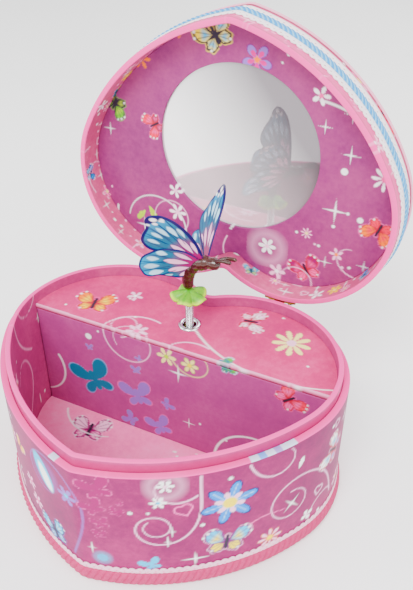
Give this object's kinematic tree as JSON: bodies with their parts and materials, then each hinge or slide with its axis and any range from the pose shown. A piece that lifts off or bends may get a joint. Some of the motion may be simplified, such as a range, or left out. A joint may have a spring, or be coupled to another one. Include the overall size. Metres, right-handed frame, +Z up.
{
  "type": "wind-up music box",
  "caption": "Heart-shaped wind-up music box: hinged lid with a round mirror, turning folding butterfly on a sprung stem, open front compartment and a spring movement under the shelf.",
  "frame": {"origin": "on the underside, in the middle of the heart's width and on the line through the centres of its two lobes", "axes": "+Z up; -Y towards the heart's point, which is the front; +Y towards the lobes and the lid hinges; +X to the right seen from the front"},
  "size_m": [0.1664, 0.1655, 0.1976],
  "materials": {
    "wall_print": "satin printed paper",
    "collar_print": "satin printed paper",
    "shelf_print": "satin printed paper",
    "partition_print": "satin printed paper",
    "liner_print": "satin printed paper",
    "lid_print": "satin printed paper",
    "braid": "twisted braid",
    "lace": "woven lace",
    "ribbon": "woven ribbon",
    "piping": "piping",
    "mirror": "polished",
    "chrome": "polished",
    "steel": "brushed",
    "brass": "satin",
    "casting": "tumbled",
    "hardboard": "pressed board",
    "batten": "sawn",
    "green_plastic": "moulded",
    "brown_plastic": "moulded",
    "wing_film": "printed sheet"
  },
  "bodies": {
    "base": {"outer_wall": "wall_print", "bottom_panel": "hardboard", "inner_collar": "collar_print", "compartment_floor": "shelf_print", "partition": "partition_print", "shelf": "shelf_print", "foot_braid": "braid", "foot_lace": "lace", "eyelet": "chrome", "spindle_bush": "brass", "hinge_base_leaves": "brass", "hinge_pins": "steel", "hinge_base_screws": "steel", "support_battens": "batten", "movement_board": "hardboard", "bedplate": "casting", "movement_screws": "steel", "movement_frame": "casting", "comb_base": "casting", "comb": "steel", "comb_screws": "steel", "governor_bracket": "casting", "click_post": "steel"},
    "lid": {"lid_wall": "lid_print", "lid_top": "lid_print", "lid_liner": "liner_print", "lid_spacer": "hardboard", "mirror": "mirror", "lid_lace": "lace", "lid_ribbon": "ribbon", "lid_piping": "piping", "hinge_lid_leaves": "brass", "hinge_lid_screws": "steel"},
    "key": {"winding_key": "brass", "winding_arbor": "steel", "ratchet_wheel": "brass"},
    "click": {"click": "steel"},
    "barrel": {"spring_barrel": "brass", "mainspring": "steel", "main_wheel": "brass"},
    "cylinder": {"music_cylinder": "brass", "cylinder_arbor": "steel", "cylinder_pinion": "brass", "cylinder_wheel": "brass"},
    "governor": {"governor_wheel": "brass"},
    "air_brake": {"air_brake": "steel"},
    "spindle": {"spindle": "steel", "spindle_pinion": "brass"},
    "figure_stem": {"figure_spring": "chrome"},
    "figure": {"flower": "green_plastic", "butterfly_body": "brown_plastic", "antennae": "brown_plastic", "left_wings": "wing_film", "right_wings": "wing_film"}
  },
  "joints": [
    {"name": "lid_hinge", "type": "hinge", "parent": "base", "child": "lid", "pos_m": [0, 0.052, 0.0635], "axis": [1, 0, 0], "range_deg": [0, 91]},
    {"name": "key_turn", "type": "hinge", "parent": "base", "child": "key", "pos_m": [-0.02007, 0.02694, 0.017], "axis": [0, 0, 1], "continuous": true},
    {"name": "click_lift", "type": "hinge", "parent": "base", "child": "click", "pos_m": [-0.02907, 0.02044, 0.0221], "axis": [0, 0, -1], "range_deg": [0, 10]},
    {"name": "barrel_spin", "type": "hinge", "parent": "base", "child": "barrel", "pos_m": [-0.02007, 0.02694, 0.0238], "axis": [0, 0, 1], "continuous": true},
    {"name": "cylinder_spin", "type": "hinge", "parent": "base", "child": "cylinder", "pos_m": [-0.04745, 0.02694, 0.0388], "axis": [1, 0, 0], "continuous": true},
    {"name": "governor_spin", "type": "hinge", "parent": "base", "child": "governor", "pos_m": [-0.05953, 0.01692, 0.03649], "axis": [1, 0, 0], "continuous": true},
    {"name": "brake_spin", "type": "hinge", "parent": "base", "child": "air_brake", "pos_m": [-0.06253, 0.01212, 0.03649], "axis": [0, 0, 1], "continuous": true},
    {"name": "spindle_spin", "type": "hinge", "parent": "base", "child": "spindle", "pos_m": [0, 0.018, 0.0318], "axis": [0, 0, 1], "continuous": true},
    {"name": "figure_fold", "type": "hinge", "parent": "base", "child": "figure_stem", "pos_m": [0, 0.018, 0.0625], "axis": [1, 0, 0], "range_deg": [0, 95.5], "deforming": ["figure_spring", "left_wings", "right_wings", "antennae"]},
    {"name": "figure_spin", "type": "hinge", "parent": "figure_stem", "child": "figure", "pos_m": [0, 0.018, 0.083], "axis": [0, 0, 1], "continuous": true}
  ],
  "couplings": [
    {"joint": "cylinder_spin", "follows": "barrel_spin", "ratio": -3},
    {"joint": "governor_spin", "follows": "barrel_spin", "ratio": 7.2},
    {"joint": "brake_spin", "follows": "barrel_spin", "ratio": 144},
    {"joint": "spindle_spin", "follows": "barrel_spin", "ratio": -1.875},
    {"joint": "figure_spin", "follows": "barrel_spin", "ratio": -1.875},
    {"joint": "figure_fold", "follows": "lid_hinge", "ratio": 1.044}
  ]
}
